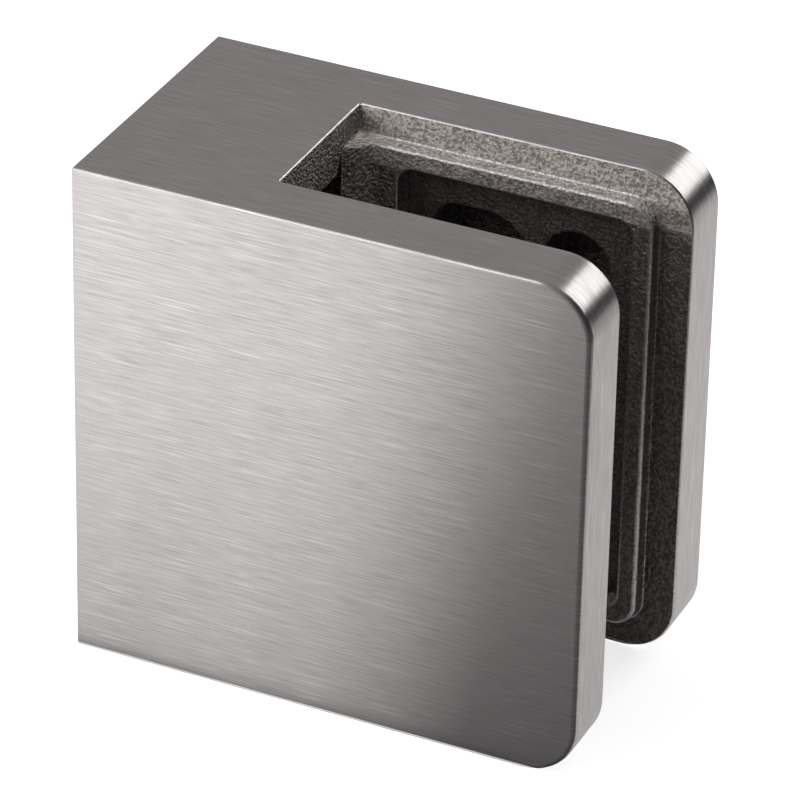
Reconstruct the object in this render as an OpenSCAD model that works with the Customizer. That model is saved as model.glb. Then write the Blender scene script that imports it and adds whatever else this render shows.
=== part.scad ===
// Square glass panel clamp with a flat back, for a post or a wall.
// The clamp body is one casting: a block and two jaws around an open glass slot.
// Two set screws in the rear jaw press the packed glass against the front jaw.
// X runs from the post to the glass, Y across the jaws to the rear, Z up.
// The origin is the centre of the flat back face.

/* [Body] */
// Height of the clamp
body_h = 45; // [40:1:60]
// Length from the post face to the glass end
body_l = 45; // [42:1:60]
// Thickness across both jaws
body_t = 26; // [24:0.5:32]
// Length of the solid block behind the slot
block_l = 15.6; // [13:0.2:17]
// Thickness of each jaw
jaw_t = 5.6; // [5.4:0.1:6.4]
// Radius of the two outer corners at the glass end
corner_r = 4.7; // [3:0.1:7]
// Rounding of the body's outer and slot edges
edge_r = 0.3; // [0.2:0.05:0.6]

/* [Jaw faces] */
// Height of the raised frame above the jaw's inner face
frame_rise = 1.3; // [0.8:0.1:1.6]
// Width of the raised frame's band
frame_w = 1.7; // [1.4:0.1:2.2]
// Bare rim between the frame and the jaw's glass end
end_rim = 3; // [2:0.1:4]
// Bare rim between the frame and the jaw's top and bottom
side_rim = 2.6; // [2:0.1:4]
// Outer corner radius of the raised frame
frame_corner_r = 2.2; // [1:0.1:3]
// Rounding of the frame's outer edge
frame_edge_r = 0.35; // [0.2:0.05:0.6]
// Leg of the sloped web between the frame and the slot's end wall
web_leg = 2; // [1:0.1:2.6]
// Distance from the slot's end wall to the recessed field
field_start = 4; // [3.2:0.1:5]
// Depth of the recessed field below the jaw's inner face
field_sink = 0.45; // [0.2:0.05:0.8]
// Corner radius of the recessed field
field_corner_r = 1.4; // [0.5:0.1:2.5]

/* [Core-outs] */
// Depth of the core-outs below the recessed field
core_depth = 3.6; // [2:0.1:3.8]
// Field left between the core-outs and its post side and glass side
core_end_rim = 2.5; // [2:0.1:3]
// Field left between the core-outs and its top or bottom
core_side_rim = 3.2; // [2.4:0.1:3.6]
// Diameter of the round core-out
round_core_d = 6; // [5:0.1:6.4]
// Length of the D-shaped core-out
d_core_l = 9; // [8:0.1:9.4]
// Height of the D-shaped core-out
d_core_h = 9.2; // [8:0.1:9.8]
// Radius of the D-shaped core-out's two small corners
d_core_corner_r = 2.2; // [1:0.1:3]

/* [Block] */
// Width of the cored pocket in the slot's end wall
pocket_w = 8; // [7.6:0.1:9]
// Solid left above and below the pocket
pocket_rim = 4.7; // [4:0.1:8]
// Thickness of the wall between the pocket and the post face
back_wall = 8; // [6:0.5:10]
// Corner radius of the pocket
pocket_corner_r = 1.5; // [0.5:0.1:3]
// Bore of the post thread, the core diameter of M8
post_bore_d = 6.8; // [5:0.1:6.8]

/* [Set screws] */
// Nominal thread diameter of the set screws, M6
screw_d = 6; // [5:0.5:6]
// Length of a set screw
screw_l = 6; // [5:0.5:7]
// Distance between the two set screws
screw_spacing = 10.8; // [9:0.1:12]
// How deep a screw's socket end sits below the rear face
screw_sink = 0.5; // [0.2:0.1:1]
// Width across the flats of the hexagon socket
socket_af = 3; // [2.5:0.5:3]
// Depth of the hexagon socket
socket_depth = 3; // [2:0.1:3.5]
// Chamfer on both ends of a set screw
screw_chamfer = 0.6; // [0.3:0.1:0.8]
// Running clearance between a screw and its thread, on the radius
thread_gap = 0.05; // [0.02:0.01:0.08]

/* [Hidden] */
$fn = 64;
cast_colour = "#c9c7c4";
screw_colour = "#8d8c8a";
// How far a cutter runs past a face, and a boss into the solid that carries it
past = 1;
lap = 0.5;

half_t = body_t / 2;
half_h = body_h / 2;
slot_half = half_t - jaw_t;
frame_half_h = half_h - side_rim;
frame_l = body_l - end_rim - block_l;
face_y = slot_half - frame_rise;
field_y = slot_half + field_sink;
field_x = block_l + field_start;
field_l = body_l - end_rim - frame_w - field_x;
field_half_h = frame_half_h - frame_w;
d_core_x = field_x + core_end_rim;
d_core_z = field_half_h - core_side_rim - d_core_h / 2;
round_core_x = field_x + field_l - core_end_rim - round_core_d / 2;
round_core_z = field_half_h - core_side_rim - round_core_d / 2;
screw_x = field_x + field_l / 2;
screw_y = half_t - screw_sink;
bore_r = screw_d / 2 + thread_gap;

// Outline from x = 0 to l, centred on y, with two rounded corners at its far end.
module nose_outline(l, h, r) {
    translate([0, -h / 2])
        square([l - r, h]);
    translate([0, r - h / 2])
        square([l, h - 2 * r]);
    for (side = [-1, 1])
        translate([l - r, side * (h / 2 - r)])
            circle(r);
}

// Rectangle with four rounded corners, from x = 0 to l and centred on y.
module soft_rect(l, h, r) {
    translate([r, 0])
        nose_outline(l - r, h, r);
    mirror([1, 0])
        translate([-l + r, 0])
            nose_outline(l - r, h, r);
}

// D shape from x = 0 to l, with small corners at x = 0 and a half-round nose.
module d_outline(l, h, r) {
    translate([l - h / 2, 0])
        circle(h / 2);
    soft_rect(l - h / 2 + r, h, r);
}

// Half-round edge of radius e, laid along the nose outline at height 0.
module nose_bead(l, h, r, e) {
    for (side = [-1, 1]) {
        translate([0, side * (h / 2 - e), 0])
            rotate([0, 90, 0])
                cylinder(r = e, h = l - r);
        translate([l - r, side * (h / 2 - r), 0])
            rotate([0, 0, side > 0 ? 0 : -90])
                rotate_extrude(angle = 90)
                    translate([r - e, 0])
                        circle(e);
    }
    translate([l - e, r - h / 2, 0])
        rotate([-90, 0, 0])
            cylinder(r = e, h = h - 2 * r);
}

// Plate of the nose outline on z = 0, its top edge rounded by e.
module soft_top_plate(l, h, t, r, e) {
    linear_extrude(t - e)
        nose_outline(l, h, r);
    linear_extrude(t)
        nose_outline(l - e, h - 2 * e, r - e);
    translate([0, 0, t - e])
        nose_bead(l, h, r, e);
}

// The same plate with both edges rounded.
module soft_plate(l, h, t, r, e) {
    translate([0, 0, e])
        soft_top_plate(l, h, t - e, r, e);
    linear_extrude(t)
        nose_outline(l - e, h - 2 * e, r - e);
    translate([0, 0, e])
        nose_bead(l, h, r, e);
}

// Stands a flat shape up in the XZ plane, so that its height points to -Y.
module upright(x, y, z) {
    translate([x, y, z])
        rotate([90, 0, 0])
            children();
}

// The jaw plate, from its inner face at slot_half to its outer face at half_t.
module jaw_plate() {
    upright(0, half_t, 0)
        soft_plate(body_l, body_h, jaw_t, corner_r, edge_r);
}

// The block between the jaw plates, lapped past their rounded inner edges.
module block() {
    block_half_t = slot_half + edge_r + lap;
    upright(0, block_half_t, 0)
        linear_extrude(2 * block_half_t)
            nose_outline(block_l, body_h, edge_r);
}

// The raised frame, still filled, with the web that runs into the end wall.
module raised_frame() {
    upright(block_l, slot_half + lap, 0)
        soft_top_plate(frame_l, 2 * frame_half_h, frame_rise + lap, frame_corner_r, frame_edge_r);
    translate([block_l, 0, -frame_half_h])
        linear_extrude(2 * frame_half_h)
            polygon([
                [-lap, face_y - web_leg],
                [0, face_y - web_leg],
                [web_leg, face_y],
                [web_leg, slot_half + lap],
                [-lap, slot_half + lap]
            ]);
}

// The recessed field inside the frame.
module field_cut() {
    upright(field_x, field_y, 0)
        linear_extrude(field_y - face_y + past)
            soft_rect(field_l, 2 * field_half_h, field_corner_r);
}

// One pair of core-outs in the field, above the middle.
module core_cuts() {
    upright(d_core_x, field_y + core_depth, d_core_z)
        linear_extrude(core_depth + lap)
            d_outline(d_core_l, d_core_h, d_core_corner_r);
    upright(round_core_x, field_y + core_depth, round_core_z)
        cylinder(d = round_core_d, h = core_depth + lap);
}

// The cored pocket in the block, open to the slot.
module pocket_cut() {
    pocket_h = body_h - 2 * pocket_rim;
    translate([back_wall, 0, 0])
        rotate([90, 0, 90])
            linear_extrude(block_l - back_wall + web_leg)
                translate([-pocket_w / 2, 0])
                    soft_rect(pocket_w, pocket_h, pocket_corner_r);
}

// The post thread's bore through the back wall.
module post_bore() {
    translate([-past, 0, 0])
        rotate([0, 90, 0])
            cylinder(d = post_bore_d, h = back_wall + 2 * past);
}

// Runs its children once for each set screw's place along the jaw.
module at_screw(side) {
    translate([screw_x + side * screw_spacing / 2, 0, 0])
        children();
}

module clamp_body() {
    color(cast_colour)
        difference() {
            union() {
                block();
                for (flip = [0, 1])
                    mirror([0, flip, 0]) {
                        jaw_plate();
                        raised_frame();
                    }
            }
            for (flip = [0, 1])
                mirror([0, flip, 0]) {
                    field_cut();
                    for (below = [0, 1])
                        mirror([0, 0, below])
                            core_cuts();
                }
            pocket_cut();
            post_bore();
            for (side = [-1, 1])
                at_screw(side)
                    upright(0, half_t + past, 0)
                        cylinder(r = bore_r, h = jaw_t + past + lap);
        }
}

// A flat-point set screw. Its socket end lies at screw_y and faces the rear.
module set_screw() {
    screw_r = screw_d / 2;
    end_r = screw_r - screw_chamfer;
    color(screw_colour)
        difference() {
            upright(0, screw_y, 0) {
                cylinder(r1 = end_r, r2 = screw_r, h = screw_chamfer);
                translate([0, 0, screw_chamfer])
                    cylinder(r = screw_r, h = screw_l - 2 * screw_chamfer);
                translate([0, 0, screw_l - screw_chamfer])
                    cylinder(r1 = screw_r, r2 = end_r, h = screw_chamfer);
            }
            upright(0, screw_y + past, 0)
                cylinder(d = socket_af / cos(30), h = socket_depth + past, $fn = 6);
        }
}

module set_screw_post_side() {
    at_screw(-1)
        set_screw();
}

module set_screw_glass_side() {
    at_screw(1)
        set_screw();
}

clamp_body();
set_screw_post_side();
set_screw_glass_side();
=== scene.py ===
import math
from contextlib import contextmanager
from types import SimpleNamespace

import bmesh
import bpy
import numpy as np
from bpy.props import (
    FloatProperty,
    FloatVectorProperty,
    IntProperty,
    PointerProperty,
)
from mathutils import Matrix, Vector


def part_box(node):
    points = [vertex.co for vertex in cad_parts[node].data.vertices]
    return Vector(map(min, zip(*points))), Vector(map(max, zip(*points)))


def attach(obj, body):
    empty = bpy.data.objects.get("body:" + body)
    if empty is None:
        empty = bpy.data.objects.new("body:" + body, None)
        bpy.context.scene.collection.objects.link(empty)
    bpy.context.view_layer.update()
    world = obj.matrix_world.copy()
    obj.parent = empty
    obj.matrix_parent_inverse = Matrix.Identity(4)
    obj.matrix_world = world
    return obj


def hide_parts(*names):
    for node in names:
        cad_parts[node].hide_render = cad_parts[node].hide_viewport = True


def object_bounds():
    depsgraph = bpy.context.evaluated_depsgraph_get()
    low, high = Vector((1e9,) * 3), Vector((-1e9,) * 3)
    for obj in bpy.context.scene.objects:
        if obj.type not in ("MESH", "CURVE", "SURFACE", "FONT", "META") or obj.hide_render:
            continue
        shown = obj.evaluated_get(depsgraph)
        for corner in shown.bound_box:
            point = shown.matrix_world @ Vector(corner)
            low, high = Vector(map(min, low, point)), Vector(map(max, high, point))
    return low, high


bl_info = {
    "name": "Glass panel clamp",
    "version": (1, 0, 0),
    "blender": (4, 5, 0),
    "location": "View3D > Sidebar > Glass clamp",
    "description": "Cast body, threads and set screws of a square glass panel clamp",
    "category": "Object",
}

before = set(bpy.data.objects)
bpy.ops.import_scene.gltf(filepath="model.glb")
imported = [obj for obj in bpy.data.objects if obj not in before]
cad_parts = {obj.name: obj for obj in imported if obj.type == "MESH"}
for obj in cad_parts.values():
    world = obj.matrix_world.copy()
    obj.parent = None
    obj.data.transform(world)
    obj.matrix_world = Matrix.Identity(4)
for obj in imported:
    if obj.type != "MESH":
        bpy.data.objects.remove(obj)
CAD_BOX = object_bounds()

MM = 0.001
BODY_LOW, BODY_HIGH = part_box("clamp_body")
SCREWS = {
    "post_side": ("set_screw_post_side", "post_side_screw"),
    "glass_side": ("set_screw_glass_side", "glass_side_screw"),
}
SCREW_LOW, SCREW_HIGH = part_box("set_screw_post_side")
# How far a cutter runs past a face, and a boss into the solid that carries it.
PAST = 1.0
LAP = 0.5
# Two places this close, in millimetres, count as the same place.
SAME = 0.02
# Points of a mesh this close, in millimetres, are merged.
WELD = 0.0005
# Edges are rounded from this angle on, and shaded as sharp from the other, in degrees.
ROUNDED_FROM = 20
SHARP_FROM = 40
# How far outside a bore its roundings still look turned, in millimetres.
BORE_SKIN = 0.05


def length(name, description, default):
    """A length setting in metres."""
    return FloatProperty(
        name=name,
        description=description,
        default=default,
        min=0.0,
        subtype="DISTANCE",
        unit="LENGTH",
        precision=5,
    )


def colour(name, description, default):
    """A linear RGB colour setting."""
    return FloatVectorProperty(
        name=name,
        description=description,
        default=default,
        min=0.0,
        max=1.0,
        size=3,
        subtype="COLOR",
    )


def share(name, description, default, top=1.0):
    """A plain factor setting."""
    return FloatProperty(
        name=name,
        description=description,
        default=default,
        min=0.0,
        max=top,
        subtype="FACTOR",
    )


class BodySizes(bpy.types.PropertyGroup):
    """Sizes of the block and the two jaws."""

    length: length("Length", "Post face to glass end", BODY_HIGH.x - BODY_LOW.x)
    thickness: length("Thickness", "Across both jaws", BODY_HIGH.y - BODY_LOW.y)
    height: length("Height", "Along the glass edge", BODY_HIGH.z - BODY_LOW.z)
    block: length("Block", "Solid length behind the slot", 0.0156)
    jaw: length("Jaw", "Thickness of one jaw", 0.0056)
    corner: length("Corner", "Radius of the glass end's corners", 0.0047)
    edge: length("Edge", "Rounding of the long outer edges", 0.0003)
    end_edge: length("End edge", "Rounding of the jaws' upright end edges", 0.0005)
    mouth_edge: length("Mouth edge", "Rounding round the slot's mouth", 0.00022)
    back_edge: length("Back edge", "Rounding round the post face", 0.00012)


class JawFaceSizes(bpy.types.PropertyGroup):
    """Sizes of the cast relief on a jaw's inner face."""

    frame_rise: length("Frame rise", "Height of the raised frame", 0.0013)
    frame_width: length("Frame width", "Width of the frame's band", 0.0017)
    end_rim: length("End rim", "Bare rim at the glass end", 0.003)
    side_rim: length("Side rim", "Bare rim at top and bottom", 0.0026)
    frame_corner: length("Frame corner", "Outer corner radius of the frame", 0.0022)
    frame_edge: length("Frame edge", "Rounding of the frame's outer edge", 0.00035)
    frame_fillet: length("Frame fillet", "Fillet at the frame's foot", 0.00025)
    web_leg: length("Web leg", "Leg of the sloped web at the end wall", 0.002)
    field_start: length("Field start", "End wall to the recessed field", 0.004)
    field_sink: length("Field sink", "Depth of the field below the rim", 0.00045)
    field_corner: length("Field corner", "Corner radius of the field", 0.0014)
    field_edge: length("Field edge", "Rounding of the field's lip and floor", 0.00022)
    core_depth: length("Core depth", "Depth of the core-outs", 0.0036)
    core_end_rim: length("Core end rim", "Field beside the core-outs", 0.0025)
    core_side_rim: length("Core side rim", "Field above the core-outs", 0.0032)
    core_edge: length("Core edge", "Rounding of the core-outs' lips", 0.0003)
    core_fillet: length("Core fillet", "Fillet at the core-outs' floors", 0.0006)
    round_core: length("Round core", "Diameter of the round core-out", 0.006)
    d_core_length: length("D core length", "Length of the D core-out", 0.009)
    d_core_height: length("D core height", "Height of the D core-out", 0.0092)
    d_core_corner: length("D core corner", "Small corners of the D core-out", 0.0022)


class BlockSizes(bpy.types.PropertyGroup):
    """Sizes of the cored pocket and the post thread."""

    pocket_width: length("Pocket width", "Width of the cored pocket", 0.008)
    pocket_rim: length("Pocket rim", "Solid above and below the pocket", 0.0047)
    pocket_corner: length("Pocket corner", "Corner radius of the pocket", 0.0015)
    back_wall: length("Back wall", "Pocket floor to post face", 0.008)
    thread: length("Post thread", "Outside diameter of the post thread", 0.008)
    thread_core: length("Post thread core", "Core diameter of the thread", 0.0068)
    thread_pitch: length("Post thread pitch", "Pitch of the post thread", 0.00125)
    thread_end: length("Thread end", "Thread's end to pocket floor", 0.0007)
    mouth: length("Thread mouth", "Rounding at the thread's mouth", 0.0006)
    pocket_fillet: length("Pocket fillet", "Fillet at the pocket's floor", 0.0004)


class ScrewSizes(bpy.types.PropertyGroup):
    """Sizes of the two set screws."""

    diameter: length("Diameter", "Outside diameter of the thread", 0.006)
    core: length("Core", "Core diameter of the thread", 0.0048)
    pitch: length("Pitch", "Pitch of the thread", 0.001)
    length: length("Length", "Socket end to point", SCREW_HIGH.y - SCREW_LOW.y)
    socket: length("Socket", "Width across the socket's flats", 0.003)
    socket_depth: length("Socket depth", "Depth of the socket", 0.003)
    point: length("Point chamfer", "Chamfer at both ends", 0.0006)
    edge: length("Edge", "Rounding of the turned edges", 0.0001)
    bore: length("Bore", "Diameter of the screw's hole in the jaw", 0.0061)
    steps: IntProperty(
        name="Steps",
        description="Segments in one turn of a thread",
        default=48,
        min=12,
        max=96,
    )


class Finish(bpy.types.PropertyGroup):
    """Colours and surface finish."""

    steel: colour("Brushed steel", "Colour of the brushed faces", (0.572, 0.552, 0.543))
    cast: colour("Cast steel", "Colour of the as-cast faces", (0.127, 0.113, 0.105))
    screw: colour("Screw steel", "Colour of the turned screws", (0.42, 0.41, 0.40))
    floor: colour("Floor", "Colour of the floor", (0.86, 0.86, 0.86))
    steel_roughness: share("Brushed roughness", "Roughness of the brushed faces", 0.36)
    brushing: share("Brushing", "How far the gloss spreads across the grain", 0.75)
    cast_roughness: share("Cast roughness", "Roughness of the cast faces", 0.48)
    grain: length("Cast grain", "Size of the casting's sand grain", 0.00027)


class ClampSettings(bpy.types.PropertyGroup):
    """All settings of the glass panel clamp."""

    body: PointerProperty(type=BodySizes)
    face: PointerProperty(type=JawFaceSizes)
    block: PointerProperty(type=BlockSizes)
    screw: PointerProperty(type=ScrewSizes)
    finish: PointerProperty(type=Finish)


def in_mm(group):
    """The group's lengths, in millimetres."""
    return SimpleNamespace(
        **{name: getattr(group, name) / MM for name in type(group).__annotations__}
    )


# Outlines, in millimetres


def arc(x, y, r, start, end, steps):
    """Points on an arc, both ends included."""
    angles = np.radians(np.linspace(start, end, steps + 1))
    return [(x + r * math.cos(a), y + r * math.sin(a)) for a in angles]


def soft_outline(x0, x1, y0, y1, r, steps=10):
    """A rectangle with four rounded corners."""
    return (
        arc(x0 + r, y0 + r, r, 180, 270, steps)
        + arc(x1 - r, y0 + r, r, 270, 360, steps)
        + arc(x1 - r, y1 - r, r, 0, 90, steps)
        + arc(x0 + r, y1 - r, r, 90, 180, steps)
    )


def nose_outline(x0, x1, h, r, steps=24):
    """A rectangle with two rounded corners at its far end."""
    return (
        [(x0, -h / 2)]
        + arc(x1 - r, r - h / 2, r, -90, 0, steps)
        + arc(x1 - r, h / 2 - r, r, 0, 90, steps)
        + [(x0, h / 2)]
    )


def d_outline(x0, x1, y, h, r, steps=12):
    """A D with small corners at x0 and a half-round nose at x1."""
    return (
        arc(x0 + r, y - h / 2 + r, r, 180, 270, steps)
        + arc(x1 - h / 2, y, h / 2, -90, 90, 3 * steps)
        + arc(x0 + r, y + h / 2 - r, r, 90, 180, steps)
    )


def circle_outline(x, y, r, steps=64):
    """A full circle."""
    return arc(x, y, r, 0, 360, steps)[:-1]


# Mesh tools


def place(point, depth, along):
    """A flat point set at a depth along one of the three axes."""
    a, b = point
    return {"X": (depth, a, b), "Y": (a, depth, b), "Z": (a, b, depth)}[along]


def add_object(name, points=(), faces=()):
    """A new object in the scene, with a mesh of these points and faces."""
    mesh = bpy.data.meshes.new(name)
    mesh.from_pydata(points, [], faces)
    piece = bpy.data.objects.new(name, mesh)
    bpy.context.scene.collection.objects.link(piece)
    return piece


@contextmanager
def shell_of(piece):
    """The piece's mesh as a shell to edit, written back at the end."""
    shell = bmesh.new()
    shell.from_mesh(piece.data)
    yield shell
    shell.to_mesh(piece.data)
    shell.free()


def outward(piece):
    """Points all faces of the piece's closed shells outwards."""
    with shell_of(piece) as shell:
        bmesh.ops.recalc_face_normals(shell, faces=shell.faces)


def prism(name, outline, low, high, along):
    """A closed prism of the outline between two depths along an axis."""
    count = len(outline)
    points = [place(p, d, along) for d in (low, high) for p in outline]
    faces = [tuple(range(count)), tuple(range(count, 2 * count))]
    for i in range(count):
        j = (i + 1) % count
        faces.append((i, j, count + j, count + i))
    piece = add_object(name, points, faces)
    outward(piece)
    return piece


def remove_object(piece):
    """Takes an object and its mesh out of the file."""
    mesh = piece.data
    bpy.data.objects.remove(piece)
    bpy.data.meshes.remove(mesh)


def bake_modifiers(piece):
    """Makes the piece's modifiers part of its mesh."""
    bpy.context.view_layer.update()
    graph = bpy.context.evaluated_depsgraph_get()
    mesh = bpy.data.meshes.new_from_object(piece.evaluated_get(graph))
    piece.modifiers.clear()
    old = piece.data
    piece.data = mesh
    bpy.data.meshes.remove(old)
    mesh.name = piece.name


def combine(piece, tool, operation):
    """Cuts, joins or crosses the piece with a tool, and removes the tool."""
    change = piece.modifiers.new("combine", "BOOLEAN")
    change.operation = operation
    change.solver = "EXACT"
    change.object = tool
    bake_modifiers(piece)
    remove_object(tool)
    if not piece.data.polygons:
        raise RuntimeError(f"{piece.name}: nothing is left after {operation}")


def cut(piece, outline, low, high, along):
    """Cuts a prism of the outline out of the piece."""
    combine(piece, prism("cutter", outline, low, high, along), "DIFFERENCE")


def clean_seams(piece):
    """Merges doubled points and checks that the shell is closed."""
    with shell_of(piece) as shell:
        bmesh.ops.remove_doubles(shell, verts=shell.verts, dist=WELD)
        bmesh.ops.dissolve_degenerate(shell, dist=WELD, edges=shell.edges)
        open_edges = [e for e in shell.edges if len(e.link_faces) != 2]
    if open_edges:
        raise RuntimeError(f"{piece.name}: {len(open_edges)} open edges")


def set_roundings(piece, radius_of, widest):
    """Marks each sharp edge with its share of the widest rounding."""
    with shell_of(piece) as shell:
        weight = shell.edges.layers.float.new("bevel_weight_edge")
        for edge in shell.edges:
            if edge.calc_face_angle(0.0) >= math.radians(ROUNDED_FROM):
                middle = (edge.verts[0].co + edge.verts[1].co) / 2
                edge[weight] = radius_of(middle) / widest


def round_edges(piece, widest, segments):
    """Rounds the marked edges and fillets the marked inner corners."""
    bevel = piece.modifiers.new("rounding", "BEVEL")
    bevel.limit_method = "WEIGHT"
    bevel.width = widest
    bevel.segments = segments
    bevel.miter_outer = "MITER_ARC"
    bevel.use_clamp_overlap = False
    bevel.loop_slide = False
    bake_modifiers(piece)


def smooth_shading(piece):
    """Smooth shading that keeps the large flat faces flat."""
    for face in piece.data.polygons:
        face.use_smooth = True
    piece.data.set_sharp_from_angle(angle=math.radians(SHARP_FROM))
    normals = piece.modifiers.new("normals", "WEIGHTED_NORMAL")
    normals.keep_sharp = True
    normals.weight = 50
    bake_modifiers(piece)


def to_metres(piece):
    """Turns a mesh built in millimetres into one in metres."""
    piece.data.transform(Matrix.Scale(MM, 4))


# Cast body


def relief_marks(body, face, bore_r):
    """The places on a jaw that the relief and the finishes go by, in mm."""
    marks = SimpleNamespace()
    marks.half_t = body.thickness / 2
    marks.half_h = body.height / 2
    marks.slot = marks.half_t - body.jaw
    marks.frame_x = body.length - face.end_rim
    marks.frame_z = marks.half_h - face.side_rim
    marks.face_y = marks.slot - face.frame_rise
    marks.field_y = marks.slot + face.field_sink
    marks.floor_y = marks.field_y + face.core_depth
    marks.field_x0 = body.block + face.field_start
    marks.field_x1 = marks.frame_x - face.frame_width
    marks.field_z = marks.frame_z - face.frame_width
    marks.d_x0 = marks.field_x0 + face.core_end_rim
    marks.d_z = marks.field_z - face.core_side_rim - face.d_core_height / 2
    marks.round_x = marks.field_x1 - face.core_end_rim - face.round_core / 2
    marks.round_z = marks.field_z - face.core_side_rim - face.round_core / 2
    marks.bore = bore_r
    return marks


def screw_places():
    """Where the two set screws' axes cross the jaw, as x in millimetres."""
    places = []
    for node, _ in SCREWS.values():
        low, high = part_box(node)
        places.append((low.x + high.x) / 2 / MM)
    return places


def raised_frame(body, face, marks, side):
    """The raised frame of one jaw with the web that runs into the end wall."""
    foot_y = marks.face_y - face.web_leg
    back_y = marks.slot + LAP
    crest_x = body.block + face.web_leg
    section = [
        (body.block - LAP, side * foot_y),
        (body.block, side * foot_y),
        (crest_x, side * marks.face_y),
        (marks.frame_x + PAST, side * marks.face_y),
        (marks.frame_x + PAST, side * back_y),
        (body.block - LAP, side * back_y),
    ]
    band = prism("band", section, -marks.half_h, marks.half_h, "Z")
    outline = nose_outline(
        body.block - PAST, marks.frame_x, 2 * marks.frame_z, face.frame_corner, 10
    )
    plate = prism("plate", outline, -marks.half_t, marks.half_t, "Y")
    combine(band, plate, "INTERSECT")
    return band


def cut_relief(casting, face, marks, side):
    """Cuts the recessed field and the core-outs of one jaw."""

    def sink(outline, near, far):
        low, high = sorted((side * near, side * far))
        cut(casting, outline, low, high, "Y")

    z = marks.field_z
    field = soft_outline(
        marks.field_x0, marks.field_x1, -z, z, face.field_corner, 8
    )
    sink(field, marks.face_y - PAST, marks.field_y)
    for up in (-1, 1):
        d_shape = d_outline(
            marks.d_x0,
            marks.d_x0 + face.d_core_length,
            up * marks.d_z,
            face.d_core_height,
            face.d_core_corner,
        )
        sink(d_shape, marks.slot, marks.floor_y)
        round_shape = circle_outline(
            marks.round_x, up * marks.round_z, face.round_core / 2, 48
        )
        sink(round_shape, marks.slot, marks.floor_y)


def cut_block(casting, body, block, marks):
    """Cuts the cored pocket in the slot's end wall and the post thread's bore."""
    half_w = block.pocket_width / 2
    pocket_z = marks.half_h - block.pocket_rim
    pocket = soft_outline(-half_w, half_w, -pocket_z, pocket_z, block.pocket_corner, 8)
    cut(casting, pocket, block.back_wall, body.block + PAST, "X")
    thread_end = block.back_wall - block.thread_end
    cut(casting, circle_outline(0, 0, block.thread / 2), -PAST, thread_end, "X")
    core = circle_outline(0, 0, block.thread_core / 2)
    cut(casting, core, thread_end - LAP, block.back_wall + PAST, "X")


def contour_depth(body, x, z):
    """How far a point of the side view lies inside the body's outline."""
    half_h = body.height / 2
    r = body.corner
    over_x = x - (body.length - r)
    over_z = abs(z) - (half_h - r)
    if over_x > 0 and over_z > 0:
        return r - math.hypot(over_x, over_z)
    return min(x, body.length - x, half_h - abs(z))


def rounding_rule(body, face, block, marks):
    """A function that gives the rounding of a sharp edge from its middle."""
    pocket_z = marks.half_h - block.pocket_rim
    pocket_y = block.pocket_width / 2

    def on_outer_face(x, z):
        if contour_depth(body, x, z) > SAME:
            return body.edge
        if x < SAME:
            return body.back_edge
        turn = (x - body.length + body.corner) / body.corner
        return body.edge + (body.end_edge - body.edge) * min(max(turn, 0), 1)

    def on_end_wall(y, z):
        in_pocket = y < pocket_y + SAME and abs(z) < pocket_z + SAME
        if in_pocket or y < marks.face_y - face.web_leg + SAME:
            return body.back_edge
        if abs(z) > marks.frame_z + SAME:
            return body.back_edge
        return face.frame_fillet

    def radius_of(middle):
        x, y, z = middle.x, abs(middle.y), middle.z
        if y > marks.half_t - SAME:
            return on_outer_face(x, z)
        if x < SAME:
            at_rim = contour_depth(body, x + SAME, z) < 2 * SAME
            near_rim = abs(z) > marks.half_h - SAME
            return body.back_edge if near_rim or not at_rim else block.mouth
        if contour_depth(body, x, z) < SAME:
            return body.mouth_edge
        if abs(x - block.back_wall) < SAME:
            in_bore = math.hypot(y, z) < block.thread_core / 2 + SAME
            return body.back_edge if in_bore else block.pocket_fillet
        if abs(x - body.block) < SAME:
            return on_end_wall(y, z)
        if x < body.block:
            return 0.0
        if abs(y - marks.slot) < SAME:
            return face.frame_fillet
        if abs(y - marks.face_y) < SAME:
            on_field = (
                marks.field_x0 - SAME < x < marks.field_x1 + SAME
                and abs(z) < marks.field_z + SAME
            )
            return face.field_edge if on_field else face.frame_edge
        if y < marks.face_y:
            return face.field_edge
        if abs(y - marks.field_y) < SAME:
            return face.core_edge
        if abs(y - marks.floor_y) < SAME:
            return face.core_fillet
        return 0.0

    return radius_of


def contour_run(body, x, z):
    """How far along the body's outline a point lies, from the top's back end."""
    half_h = body.height / 2
    r = body.corner
    straight = body.length - r
    quarter = r * math.pi / 2
    upright = body.height - 2 * r
    if x <= straight:
        return x if z > 0 else 2 * (straight + quarter) + upright - x
    if abs(z) <= half_h - r:
        return straight + quarter + (half_h - r) - z
    turn = math.atan2(x - straight, abs(z) - (half_h - r))
    if z > 0:
        return straight + r * turn
    return straight + quarter + upright + r * (math.pi / 2 - turn)


# The fourth finish is brighter steel on the frame's roundings: partly rubbed wear, partly
# a painted highlight.
BRUSHED, CAST, TURNED, WEAR_AND_HIGHLIGHT = 0, 1, 2, 3


def in_turned_bore(block, marks, screws, x, y, z):
    """Whether a point lies in the post thread's bore or in a set screw's."""
    post_r = block.thread / 2 + BORE_SKIN
    if abs(y) < post_r and abs(z) < post_r:
        if x < block.back_wall - BORE_SKIN:
            return True
    screw_r = marks.bore + BORE_SKIN
    return y > marks.field_y and any(math.hypot(x - at, z) < screw_r for at in screws)


def on_wear_and_highlight_edge(body, marks, x, y, normal):
    """Whether a face belongs to the roundings that get a brighter steel as a painted
    highlight.

    They are the edges of the raised frame, all round, where the brighter steel is partly
    rubbed wear and partly a painted highlight line. They are also the fillet at its foot
    where that runs level, where it is a painted highlight only. The roundings lean, and
    the flat faces don't.
    """
    leans = 0.1 < abs(normal.y) < 0.99
    past_the_corner = x > body.block + 0.5
    if not (leans and past_the_corner and abs(y) > marks.face_y - SAME):
        return False
    near_crest = abs(y) < (marks.face_y + marks.slot) / 2
    runs_level = abs(y) < marks.slot and abs(normal.x) < 0.3
    return near_crest or runs_level


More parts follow.
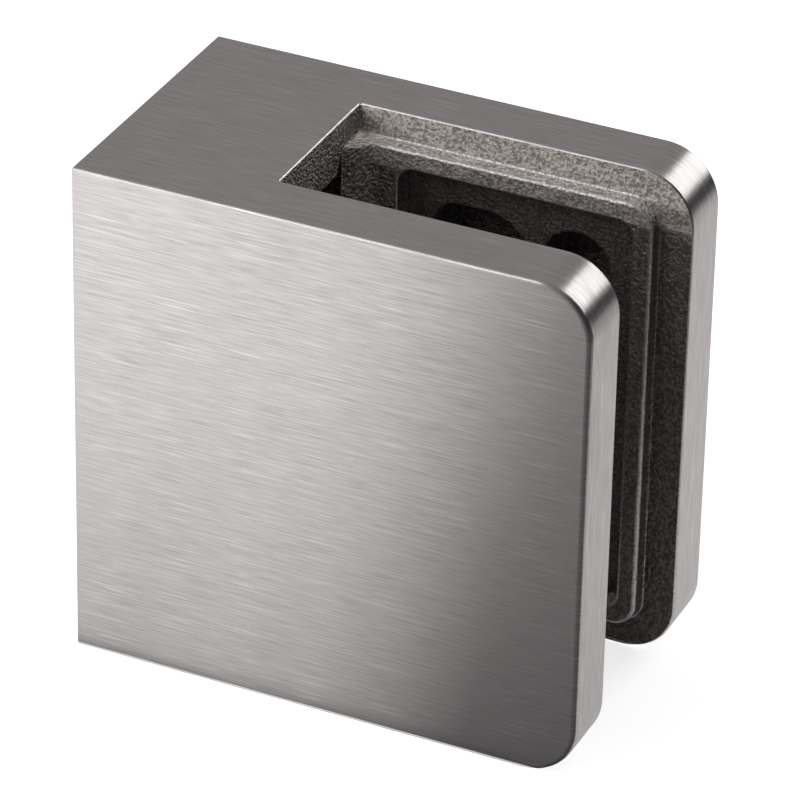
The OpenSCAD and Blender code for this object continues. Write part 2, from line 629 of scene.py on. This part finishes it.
def finish_of(body, block, marks, screws, centre, normal):
    """Which finish a face of the casting has."""
    x, y, z = centre
    skin = body.mouth_edge * 0.75
    if abs(y) > marks.half_t - skin or contour_depth(body, x, z) < skin:
        return BRUSHED
    if in_turned_bore(block, marks, screws, x, y, z):
        return TURNED
    # The frame's roundings get brighter steel: partly rubbed wear, partly a painted
    # highlight.
    if on_wear_and_highlight_edge(body, marks, x, y, normal):
        return WEAR_AND_HIGHLIGHT
    return CAST


def dress_body(piece, body, block, marks, screws, materials):
    """Gives the faces their finishes and lays the brushing's grain map."""
    mesh = piece.data
    mesh.materials.clear()
    for material in materials:
        mesh.materials.append(material)
    grain = mesh.uv_layers.new(name="grain")
    for face in mesh.polygons:
        finish = finish_of(body, block, marks, screws, face.center, face.normal)
        face.material_index = finish
        across_jaw = abs(face.normal.y) > 0.5
        at_back = face.normal.x < -0.7
        for loop in face.loop_indices:
            x, y, z = mesh.vertices[mesh.loops[loop].vertex_index].co
            if across_jaw:
                grain.data[loop].uv = (x, z)
            elif at_back:
                grain.data[loop].uv = (z, y + body.length)
            else:
                grain.data[loop].uv = (contour_run(body, x, z), y + body.height)


class CLAMP_OT_cast_body(bpy.types.Operator):
    """Builds the one-piece casting with its jaws, relief, pocket and bores"""

    bl_idname = "glass_clamp.cast_body"
    bl_label = "Cast body"

    def execute(self, context):
        settings = context.scene.glass_clamp
        body, face, block = map(in_mm, (settings.body, settings.face, settings.block))
        marks = relief_marks(body, face, settings.screw.bore / MM / 2)
        screws = screw_places()
        outline = nose_outline(0, body.length, body.height, body.corner)
        casting = prism("clamp_casting", outline, -marks.half_t, marks.half_t, "Y")
        far = body.length + PAST
        tall = marks.half_h + PAST
        slot = [(body.block, -tall), (far, -tall), (far, tall), (body.block, tall)]
        cut(casting, slot, -marks.slot, marks.slot, "Y")
        for side in (-1, 1):
            combine(casting, raised_frame(body, face, marks, side), "UNION")
            cut_relief(casting, face, marks, side)
        cut_block(casting, body, block, marks)
        for screw_x in screws:
            hole = circle_outline(screw_x, 0, marks.bore)
            cut(casting, hole, marks.slot - LAP, marks.half_t + PAST, "Y")
        clean_seams(casting)
        widest = max(block.mouth, face.core_fillet)
        set_roundings(casting, rounding_rule(body, face, block, marks), widest)
        round_edges(casting, widest, 4)
        finish = settings.finish
        materials = [
            brushed_steel(finish),
            cast_steel(finish),
            turned_steel(finish),
            wear_and_highlight_steel(finish),
        ]
        dress_body(casting, body, block, marks, screws, materials)
        smooth_shading(casting)
        to_metres(casting)
        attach(casting, "clamp")
        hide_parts("clamp_body")
        return {"FINISHED"}


# Threads and set screws

# Widths of a thread's ridge at its foot and crest, as shares of the pitch.
BORE_RIDGE = (0.95, 0.22)
SCREW_RIDGE = (0.92, 0.16)


def thread_tree():
    """Geometry Nodes group that winds a thread's ridge round the Z axis.

    The ridge starts at the origin's height and climbs. A negative ridge
    height turns it inwards, as in a nut. It joins whatever geometry comes in.
    """
    name = "thread_ridge"
    if name in bpy.data.node_groups:
        return bpy.data.node_groups[name]
    tree = bpy.data.node_groups.new(name, "GeometryNodeTree")
    tree.is_modifier = True
    add_socket = tree.interface.new_socket
    for label, kind, default in (
        ("Geometry", "Geometry", None),
        ("Wall radius", "Float", 0.003),
        ("Pitch", "Float", 0.001),
        ("Turns", "Float", 5.0),
        ("Ridge height", "Float", 0.0006),
        ("Foot width", "Float", 0.0009),
        ("Crest width", "Float", 0.00015),
        ("Run-out", "Float", 0.08),
        ("Steps per turn", "Int", 48),
        ("Turn", "Rotation", None),
        ("Move", "Vector", None),
        ("Material", "Material", None),
    ):
        made = add_socket(name=label, in_out="INPUT", socket_type="NodeSocket" + kind)
        if default is not None:
            made.default_value = default
    add_socket(name="Geometry", in_out="OUTPUT", socket_type="NodeSocketGeometry")
    nodes, links = tree.nodes, tree.links
    inputs = nodes.new("NodeGroupInput")
    outputs = nodes.new("NodeGroupOutput")

    def math_node(operation, a, b=None):
        made = nodes.new("ShaderNodeMath")
        made.operation = operation
        for index, value in enumerate((a, b)):
            if isinstance(value, (int, float)):
                made.inputs[index].default_value = value
            elif value is not None:
                links.new(value, made.inputs[index])
        return made.outputs[0]

    def vector(x, y):
        made = nodes.new("ShaderNodeCombineXYZ")
        links.new(x, made.inputs[0])
        links.new(y, made.inputs[1])
        return made.outputs[0]

    def of(name):
        return inputs.outputs[name]

    spiral = nodes.new("GeometryNodeCurveSpiral")
    links.new(of("Steps per turn"), spiral.inputs["Resolution"])
    links.new(of("Turns"), spiral.inputs["Rotations"])
    links.new(of("Wall radius"), spiral.inputs["Start Radius"])
    links.new(of("Wall radius"), spiral.inputs["End Radius"])
    links.new(math_node("MULTIPLY", of("Turns"), of("Pitch")), spiral.inputs["Height"])
    upright = nodes.new("GeometryNodeSetCurveNormal")
    upright.mode = "Z_UP"
    links.new(spiral.outputs[0], upright.inputs["Curve"])
    # The ridge grows out of the wall over the run-out at both ends.
    along = nodes.new("GeometryNodeSplineParameter")
    from_end = math_node("SUBTRACT", 1.0, along.outputs["Factor"])
    nearest = math_node("MINIMUM", along.outputs["Factor"], from_end)
    growth = math_node("MINIMUM", math_node("DIVIDE", nearest, of("Run-out")), 1.0)
    half_foot = math_node("MULTIPLY", of("Foot width"), 0.5)
    half_crest = math_node("MULTIPLY", of("Crest width"), 0.5)
    # The profile's first axis points at the spiral's own axis.
    crest = math_node("MULTIPLY", of("Ridge height"), -1.0)
    sink = math_node("MULTIPLY", of("Ridge height"), 0.25)
    profile = nodes.new("GeometryNodeCurvePrimitiveQuadrilateral")
    profile.mode = "POINTS"
    corners = (
        (sink, math_node("MULTIPLY", half_foot, -1.0)),
        (crest, math_node("MULTIPLY", half_crest, -1.0)),
        (crest, half_crest),
        (sink, half_foot),
    )
    for index, (x, y) in enumerate(corners, 1):
        links.new(vector(x, y), profile.inputs[f"Point {index}"])
    sweep = nodes.new("GeometryNodeCurveToMesh")
    links.new(upright.outputs[0], sweep.inputs["Curve"])
    links.new(profile.outputs[0], sweep.inputs["Profile Curve"])
    links.new(growth, sweep.inputs["Scale"])
    sweep.inputs["Fill Caps"].default_value = True
    move = nodes.new("GeometryNodeTransform")
    links.new(sweep.outputs[0], move.inputs["Geometry"])
    links.new(of("Turn"), move.inputs["Rotation"])
    links.new(of("Move"), move.inputs["Translation"])
    paint = nodes.new("GeometryNodeSetMaterial")
    links.new(move.outputs[0], paint.inputs["Geometry"])
    links.new(of("Material"), paint.inputs["Material"])
    join = nodes.new("GeometryNodeJoinGeometry")
    links.new(paint.outputs[0], join.inputs[0])
    links.new(of("Geometry"), join.inputs[0])
    realize = nodes.new("GeometryNodeRealizeInstances")
    links.new(join.outputs[0], realize.inputs[0])
    finish = nodes.new("GeometryNodeSetMaterial")
    links.new(realize.outputs[0], finish.inputs["Geometry"])
    links.new(of("Material"), finish.inputs["Material"])
    links.new(finish.outputs[0], outputs.inputs[0])
    return tree


def wind_thread(piece, values):
    """Adds the thread's ridge to the piece and makes it part of its mesh."""
    tree = thread_tree()
    wind = piece.modifiers.new("thread", "NODES")
    wind.node_group = tree
    for item in tree.interface.items_tree:
        if item.in_out == "INPUT" and item.name in values:
            wind[item.identifier] = values[item.name]
    bake_modifiers(piece)


class CLAMP_OT_post_thread(bpy.types.Operator):
    """Winds the thread in the bore of the post face"""

    bl_idname = "glass_clamp.post_thread"
    bl_label = "Post thread"

    def execute(self, context):
        settings = context.scene.glass_clamp
        block = settings.block
        thread = add_object("post_thread")
        depth = (block.thread - block.thread_core) / 2
        start = block.mouth * 0.9
        foot, crest = BORE_RIDGE
        wind_thread(
            thread,
            {
                "Wall radius": block.thread / 2,
                "Pitch": block.thread_pitch,
                "Turns": (block.back_wall - block.thread_end - start)
                / block.thread_pitch,
                "Ridge height": -depth,
                "Foot width": block.thread_pitch * foot,
                "Crest width": block.thread_pitch * crest,
                "Run-out": 0.06,
                "Steps per turn": settings.screw.steps,
                "Turn": (0.0, math.radians(90), 0.0),
                "Move": (start, 0.0, 0.0),
                "Material": turned_steel(settings.finish),
            },
        )
        outward(thread)
        smooth_shading(thread)
        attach(thread, "clamp")
        return {"FINISHED"}


def turned_core(screw):
    """A set screw's core with its chamfers and hexagon socket, axis on Z, in mm."""
    half = screw.length / 2
    core_r = screw.core / 2
    end_r = screw.diameter / 2 - screw.point
    neck = screw.point - (end_r - core_r)
    profile = [(end_r, half), (core_r, half - neck)]
    rings = profile + [(r, -z) for r, z in reversed(profile)]
    steps = 48
    points, faces = [], []
    for r, z in rings:
        points += [(x, y, z) for x, y in circle_outline(0, 0, r, steps)]
    for level in range(len(rings) - 1):
        for i in range(steps):
            j = (i + 1) % steps
            a, b = level * steps, (level + 1) * steps
            faces.append((a + i, b + i, b + j, a + j))
    faces.append(tuple(range(steps)))
    faces.append(tuple(range(len(points) - steps, len(points))))
    core = add_object("core", points, faces)
    outward(core)
    socket_r = screw.socket / 2 / math.cos(math.radians(30))
    floor_z = half - screw.socket_depth
    hexagon = circle_outline(0, 0, socket_r, 6)
    cut(core, hexagon, floor_z, half + PAST, "Z")
    return core


class CLAMP_OT_set_screws(bpy.types.Operator):
    """Builds the two socket set screws in the rear jaw"""

    bl_idname = "glass_clamp.set_screws"
    bl_label = "Set screws"

    def execute(self, context):
        settings = context.scene.glass_clamp
        screw = settings.screw
        sizes = in_mm(screw)
        material = turned_steel(settings.finish)
        for name, (node, body) in SCREWS.items():
            low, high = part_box(node)
            piece = turned_core(sizes)
            piece.name = f"{name}_set_screw"
            clean_seams(piece)
            set_roundings(piece, lambda middle: sizes.edge, sizes.edge)
            round_edges(piece, sizes.edge, 2)
            to_metres(piece)
            # The ridge runs a quarter of a pitch into both chamfers.
            run = screw.length - 2 * screw.point + 0.5 * screw.pitch
            foot, crest = SCREW_RIDGE
            wind_thread(
                piece,
                {
                    "Wall radius": screw.core / 2,
                    "Pitch": screw.pitch,
                    "Turns": run / screw.pitch,
                    "Ridge height": (screw.diameter - screw.core) / 2,
                    "Foot width": screw.pitch * foot,
                    "Crest width": screw.pitch * crest,
                    "Run-out": 0.07,
                    "Steps per turn": screw.steps,
                    "Move": (0.0, 0.0, -run / 2),
                    "Material": material,
                },
            )
            outward(piece)
            smooth_shading(piece)
            centre = (low + high) / 2
            stand = Matrix.Translation(centre) @ Matrix.Rotation(
                math.radians(-90), 4, "X"
            )
            piece.data.transform(stand)
            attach(piece, body)
            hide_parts(node)
        return {"FINISHED"}


# Materials


class Shader:
    """A new material with a short way to add and join its nodes."""

    def __init__(self, name):
        self.material = bpy.data.materials.new(name)
        self.material.use_nodes = True
        self.nodes = self.material.node_tree.nodes
        self.links = self.material.node_tree.links
        self.surface = self.nodes["Principled BSDF"]
        self.output = self.nodes["Material Output"]

    def add(self, kind, inputs=(), **settings):
        """A node, with its settings and its inputs as values or outputs."""
        node = self.nodes.new(kind)
        for key, value in settings.items():
            setattr(node, key, value)
        for key, value in dict(inputs).items():
            self.feed(node, key, value)
        return node

    def feed(self, node, key, value):
        """Sets an input to a value, or joins an output to it."""
        if isinstance(value, bpy.types.NodeSocket):
            self.links.new(value, node.inputs[key])
        else:
            node.inputs[key].default_value = value

    def coat(self, inputs):
        """Sets or joins the surface's inputs."""
        for key, value in inputs.items():
            self.feed(self.surface, key, value)

    def spread(self, vector, scale, **inputs):
        """Noise on a stretched copy of the coordinates."""
        stretched = self.add("ShaderNodeMapping", {"Vector": vector, "Scale": scale})
        settings = {"Vector": stretched.outputs[0], "Scale": 1.0}
        settings.update((key.capitalize(), value) for key, value in inputs.items())
        return self.add("ShaderNodeTexNoise", settings).outputs["Fac"]

    def level(self, value, low, high, to_low=0.0, to_high=1.0):
        """Maps a range of a value to another range, held at both ends."""
        return self.add(
            "ShaderNodeMapRange",
            {
                "Value": value,
                "From Min": low,
                "From Max": high,
                "To Min": to_low,
                "To Max": to_high,
            },
        ).outputs[0]

    def shade(self, dark, light, amount):
        """A colour between two others, each an RGB triple or an output."""
        mix = self.add("ShaderNodeMix", data_type="RGBA")
        self.feed(mix, 0, amount)
        # A colour mix has its colours on inputs 6 and 7 and on output 2.
        for index, end in ((6, dark), (7, light)):
            self.feed(mix, index, (*end, 1.0) if isinstance(end, tuple) else end)
        return mix.outputs[2]

    def tones(self, rgb, dark, light, amount):
        """A colour between a darker and a lighter tint of one colour."""
        return self.shade(tint(rgb, dark), tint(rgb, light), amount)

    def math(self, operation, a, b):
        """One step of arithmetic."""
        return self.add("ShaderNodeMath", {0: a, 1: b}, operation=operation).outputs[0]

    def blend(self, a, b, share_of_b):
        """Two patterns in one."""
        rest = self.math("MULTIPLY", a, 1.0 - share_of_b)
        return self.math("ADD", self.math("MULTIPLY", b, share_of_b), rest)

    def bump(self, height, strength, distance):
        """A bumped normal."""
        sizes = {"Height": height, "Strength": strength, "Distance": distance}
        return self.add("ShaderNodeBump", sizes).outputs[0]


def tint(rgb, factor):
    """A colour made darker or lighter."""
    return tuple(min(1.0, c * factor) for c in rgb)


def brushed_steel(finish):
    """Stainless steel, belt-brushed along the grain map's first direction."""
    s = Shader("brushed_steel")
    grain = s.add("ShaderNodeUVMap", uv_map="grain").outputs[0]
    fine = s.spread(grain, (0.30, 7.0, 1.0), detail=2.5, roughness=0.6)
    broad = s.spread(grain, (0.08, 9.0, 1.0), detail=1.0)
    lines = s.spread(grain, (0.16, 7.5, 1.0), detail=0.0)
    scratch = s.level(lines, 0.68, 0.77)
    streak = s.level(s.blend(broad, fine, 0.65), 0.34, 0.66)
    base = s.tones(finish.steel, 0.80, 1.15, streak)
    rough = finish.steel_roughness
    tangent = s.add("ShaderNodeTangent", direction_type="UV_MAP", uv_map="grain")
    height = s.math("ADD", fine, s.math("MULTIPLY", scratch, 0.6))
    s.coat(
        {
            "Base Color": s.shade(base, tint(finish.steel, 1.25), scratch),
            "Metallic": 1.0,
            "Roughness": s.level(streak, 0, 1, rough * 1.12, rough * 0.88),
            "Anisotropic": finish.brushing,
            # A quarter turn: the gloss spreads across the grain, not along it.
            "Anisotropic Rotation": 0.25,
            "Tangent": tangent.outputs[0],
            "Normal": s.bump(height, 0.35, 0.00002),
        }
    )
    return s.material


def cast_steel(finish):
    """Steel as cast in sand: grainy, dull and a little brown."""
    s = Shader("cast_steel")
    where = s.add("ShaderNodeTexCoord").outputs["Object"]
    per_metre = 1.0 / finish.grain
    grain = s.spread(where, (per_metre,) * 3, detail=1.5, roughness=0.5)
    lumps = s.spread(where, (per_metre / 6,) * 3, detail=1.0)
    tone = s.level(s.blend(lumps, grain, 0.8), 0.39, 0.61)
    s.coat(
        {
            "Base Color": s.tones(finish.cast, 0.60, 1.42, tone),
            "Metallic": 0.45,
            "Roughness": finish.cast_roughness,
            "Normal": s.bump(grain, 1.0, 0.00040),
        }
    )
    return s.material


def wear_and_highlight_steel(finish):
    """The casting's frame edges in brighter steel with the same grain: partly rubbed wear,
    partly a painted highlight line.
    """
    s = Shader("wear_and_highlight_steel")
    where = s.add("ShaderNodeTexCoord").outputs["Object"]
    grain = s.spread(where, (1.0 / finish.grain,) * 3, detail=1.5, roughness=0.5)
    tone = s.level(grain, 0.35, 0.65)
    s.coat(
        {
            # Lighter than the cast faces, so the roundings show a painted highlight line
            # that is partly rubbed wear.
            "Base Color": s.tones(finish.steel, 0.5, 0.85, tone),
            "Metallic": 0.9,
            "Roughness": 0.36,
            "Normal": s.bump(grain, 0.5, 0.00015),
        }
    )
    return s.material


def turned_steel(finish):
    """Plain machined steel, as on the threads and the screws."""
    s = Shader("turned_steel")
    where = s.add("ShaderNodeTexCoord").outputs["Object"]
    marks = s.spread(where, (2500.0, 9000.0, 2500.0), detail=2.0)
    s.coat(
        {
            "Base Color": s.tones(finish.screw, 0.8, 1.1, marks),
            "Metallic": 1.0,
            "Roughness": s.level(marks, 0.3, 0.7, 0.24, 0.34),
            "Normal": s.bump(marks, 0.15, 0.00002),
        }
    )
    return s.material


def floor_white(finish):
    """A pale floor that looks white and keeps the object's shadow."""
    s = Shader("floor_white")
    ray = s.add("ShaderNodeLightPath").outputs
    seen = s.math("MAXIMUM", ray["Is Camera Ray"], ray["Is Glossy Ray"])
    seen = s.math("MAXIMUM", seen, ray["Is Transmission Ray"])
    s.coat(
        {
            "Base Color": (*finish.floor, 1.0),
            "Roughness": 0.9,
            "Specular IOR Level": 0.1,
        }
    )
    glow = s.add("ShaderNodeEmission", {"Strength": s.math("MULTIPLY", seen, 0.77)})
    both = s.add("ShaderNodeAddShader", {0: s.surface.outputs[0], 1: glow.outputs[0]})
    s.feed(s.output, "Surface", both.outputs[0])
    return s.material


def studio_card():
    """A studio card, as dense and as bright as its two attributes say."""
    s = Shader("studio_card")
    cover, glow = (
        s.add("ShaderNodeAttribute", attribute_name=name).outputs["Fac"]
        for name in ("cover", "glow")
    )
    s.coat(
        {
            "Base Color": (0.01, 0.01, 0.01, 1.0),
            "Roughness": 1.0,
            "Specular IOR Level": 0.0,
            "Alpha": cover,
            "Emission Color": (1.0, 1.0, 1.0, 1.0),
            "Emission Strength": glow,
        }
    )
    return s.material


# Stage


def aim(thing, target, roll=0.0):
    """Turns a lamp towards a point, and rolls it about that line."""
    towards = (Vector(target) - thing.location).to_track_quat("-Z", "Y")
    turn = towards.to_matrix() @ Matrix.Rotation(math.radians(roll), 3, "Z")
    thing.rotation_euler = turn.to_euler()


def soft_box(name, at, target, size, radiance, roll=0.0):
    """A rectangular soft lamp of the given brightness."""
    lamp = bpy.data.lights.new(name, "AREA")
    lamp.shape = "RECTANGLE"
    lamp.size, lamp.size_y = size
    lamp.energy = radiance * math.pi * size[0] * size[1]
    box = bpy.data.objects.new(name, lamp)
    bpy.context.scene.collection.objects.link(box)
    box.location = at
    aim(box, target, roll)
    box.visible_camera = False
    return box


def add_card(name, rows, material):
    """A studio card that only shows in the steel's gloss.

    Each row is a line of points across the card, each with its cover and glow.
    """
    width = len(rows[0])
    points = [point for row in rows for *point, _, _ in row]
    quads = []
    for j in range(len(rows) - 1):
        for i in range(width - 1):
            a = j * width + i
            quads.append((a, a + 1, a + width + 1, a + width))
    card = add_object(name, points, quads)
    for key, index in (("cover", 3), ("glow", 4)):
        values = [point[index] for row in rows for point in row]
        layer = card.data.attributes.new(key, "FLOAT", "POINT")
        layer.data.foreach_set("value", values)
    card.data.materials.append(material)
    card.visible_camera = False
    card.visible_diffuse = False
    card.visible_shadow = False
    return card


def front_card(z, material):
    """The graded card that the front face mirrors.

    Its columns follow the lines that the face mirrors, from the face's foot
    outwards, and it rises away from the face.
    """
    columns = (
        (-0.060, 1.1),
        (0.001, 1.06),
        (0.003, 0.98),
        (0.012, 1.0),
        (0.021, 0.84),
        (0.029, 0.44),
        (0.035, 0.16),
        (0.045, 0.12),
        (0.200, 0.06),
    )
    rows = []
    for reach, bright in (
        (-0.0008, 0.2),
        (0.0, 0.4),
        (0.0012, 0.72),
        (0.045, 1.3),
        (0.12, 1.3),
    ):
        row = []
        for x, part in columns:
            at = (x - 0.24 * reach, -0.0131 - reach, z + 0.35 * reach)
            row.append((*at, 1.0, part * bright))
        rows.append(row)
    add_card("front_card", rows, material)


def side_card(z, material):
    """The card on the floor that the jaws' end faces and the arcs mirror."""
    rows = []
    for y, near, far in (
        (-0.0136, 0.34, 0.4),
        (0.015, 0.3, 0.6),
        (0.05, 0.26, 0.9),
        (0.4, 0.26, 0.9),
    ):
        x = 0.057 + 0.8 * (y + 0.0136)
        covers = ((-0.15, 0), (0.02, near), (x, near), (x + 0.01, far), (x + 0.2, 0.9))
        rows.append([(at, y, z, cover, 0) for at, cover in covers])
    add_card("side_card", rows, material)


def dark_card(name, start, end, step, material):
    """A black card between two points, carried along by a step."""
    rows = []
    for shift in (Vector(), Vector(step)):
        rows.append([(*(Vector(point) + shift), 1, 0) for point in (start, end)])
    return add_card(name, rows, material)


def cast_lamps(floor):
    """Three lamps that light the dull cast faces only, not the floor or gloss."""
    apart = bpy.data.collections.new("apart")
    apart.objects.link(floor)
    apart.collection_objects[0].light_linking.link_state = "EXCLUDE"
    for name, at, size, radiance in (
        # Over the front jaw, down to the foot of the raised frame.
        ("fill", (-0.12, -0.45, 0.1044), (0.30, 0.008), 790.0),
        # Over the front jaw, down to the lip of the recessed field.
        ("upper_fill", (-0.12, -0.45, 0.165), (0.30, 0.008), 525.0),
        # Straight down into the slot.
        ("overhead", (0.03, 0.006, 0.13), (0.03, 0.03), 140.0),
    ):
        lamp = soft_box(name, at, (at[0], 0.0, 0.0), size, radiance)
        lamp.visible_glossy = False
        lamp.light_linking.receiver_collection = apart


def world_light():
    """A grey studio room, darker overhead."""
    world = bpy.data.worlds.new("studio")
    bpy.context.scene.world = world
    world.use_nodes = True
    nodes, links = world.node_tree.nodes, world.node_tree.links
    background = nodes["Background"]
    direction = nodes.new("ShaderNodeTexCoord").outputs["Generated"]
    split = nodes.new("ShaderNodeSeparateXYZ")
    links.new(direction, split.inputs[0])
    ramp = nodes.new("ShaderNodeValToRGB")
    links.new(split.outputs["Z"], ramp.inputs[0])
    ramp.color_ramp.elements[0].position = 0.05
    ramp.color_ramp.elements[0].color = (0.5, 0.5, 0.5, 1.0)
    ramp.color_ramp.elements[1].position = 0.22
    ramp.color_ramp.elements[1].color = (0.30, 0.285, 0.29, 1.0)
    links.new(ramp.outputs[0], background.inputs["Color"])
    background.inputs["Strength"].default_value = 1.0


class CLAMP_OT_stage(bpy.types.Operator):
    """Sets the floor, the lamps, the cards and the camera"""

    bl_idname = "glass_clamp.stage"
    bl_label = "Stage"

    def execute(self, context):
        finish = context.scene.glass_clamp.finish
        low = Vector(CAD_BOX[0])
        rim = [(x, y, low.z) for x, y in circle_outline(0, 0, 3.0, 96)]
        floor = add_object("floor", rim, [range(len(rim))])
        floor.data.materials.append(floor_white(finish))
        world_light()
        centre = (0.0225, 0.0, 0.0)
        soft_box("upper", (-0.20, -0.31, 0.30), centre, (0.22, 0.40), 2.4)
        cast_lamps(floor)
        soft_box("corner", (0.29, 0.48, 0.26), centre, (0.36, 0.22), 4.1, 40)
        card = studio_card()
        # The cards lie this high, just off the floor.
        z = low.z + 0.0004
        front_card(z, card)
        side_card(z, card)
        dark_card(
            "foot_card", (0.002, -0.0125, z), (0.0445, -0.0125, z), (0, 0.025, 0), card
        )
        wall = dark_card(
            "side_wall", (0.12, -0.35, z), (0.12, 0.07, z), (0, 0, 0.16 - z), card
        )
        wall.visible_diffuse = True
        wall.visible_shadow = True
        dark_card(
            "back_card", (0.06, 0.16, -0.008), (0.24, 0.05, -0.008), (0, 0, 0.058), card
        )
        self.camera(context)
        return {"FINISHED"}

    def camera(self, context):
        """The camera: a long lens above the front right of the clamp."""
        azimuth, elevation, roll = map(math.radians, (24.43, 30.70, 1.24))
        distance = 0.4533
        target = Vector((0.02291, 0.00034, 0.00024))
        lens = bpy.data.cameras.new("camera")
        lens.lens = 250.3
        lens.sensor_width = 36.0
        lens.clip_start = 0.01
        lens.clip_end = 20.0
        camera = bpy.data.objects.new("camera", lens)
        context.scene.collection.objects.link(camera)
        turn = (
            Matrix.Rotation(azimuth, 4, "Z")
            @ Matrix.Rotation(math.radians(90) - elevation, 4, "X")
            @ Matrix.Rotation(roll, 4, "Z")
        )
        camera.matrix_world = (
            Matrix.Translation(target) @ turn @ Matrix.Translation((0, 0, distance))
        )
        context.scene.camera = camera
        context.scene.view_settings.view_transform = "Standard"


class CLAMP_PT_panel(bpy.types.Panel):
    """Glass panel clamp"""

    bl_idname = "CLAMP_PT_panel"
    bl_label = "Glass clamp"
    bl_space_type = "VIEW_3D"
    bl_region_type = "UI"
    bl_category = "Glass clamp"

    def draw(self, context):
        settings = context.scene.glass_clamp
        for label in ("body", "face", "block", "screw", "finish"):
            group = getattr(settings, label)
            column = self.layout.column(heading=label.capitalize())
            for name in type(group).__annotations__:
                column.prop(group, name)
        for step in STEPS:
            self.layout.operator(step.bl_idname)


STEPS = (
    CLAMP_OT_cast_body,
    CLAMP_OT_post_thread,
    CLAMP_OT_set_screws,
    CLAMP_OT_stage,
)
CLASSES = (
    BodySizes,
    JawFaceSizes,
    BlockSizes,
    ScrewSizes,
    Finish,
    ClampSettings,
    *STEPS,
    CLAMP_PT_panel,
)


def register():
    for item in CLASSES:
        bpy.utils.register_class(item)
    bpy.types.Scene.glass_clamp = PointerProperty(type=ClampSettings)


def unregister():
    del bpy.types.Scene.glass_clamp
    for item in reversed(CLASSES):
        bpy.utils.unregister_class(item)


def main():
    register()
    bpy.ops.glass_clamp.cast_body()
    bpy.ops.glass_clamp.post_thread()
    bpy.ops.glass_clamp.set_screws()
    bpy.ops.glass_clamp.stage()


if __name__ == "__main__":
    main()
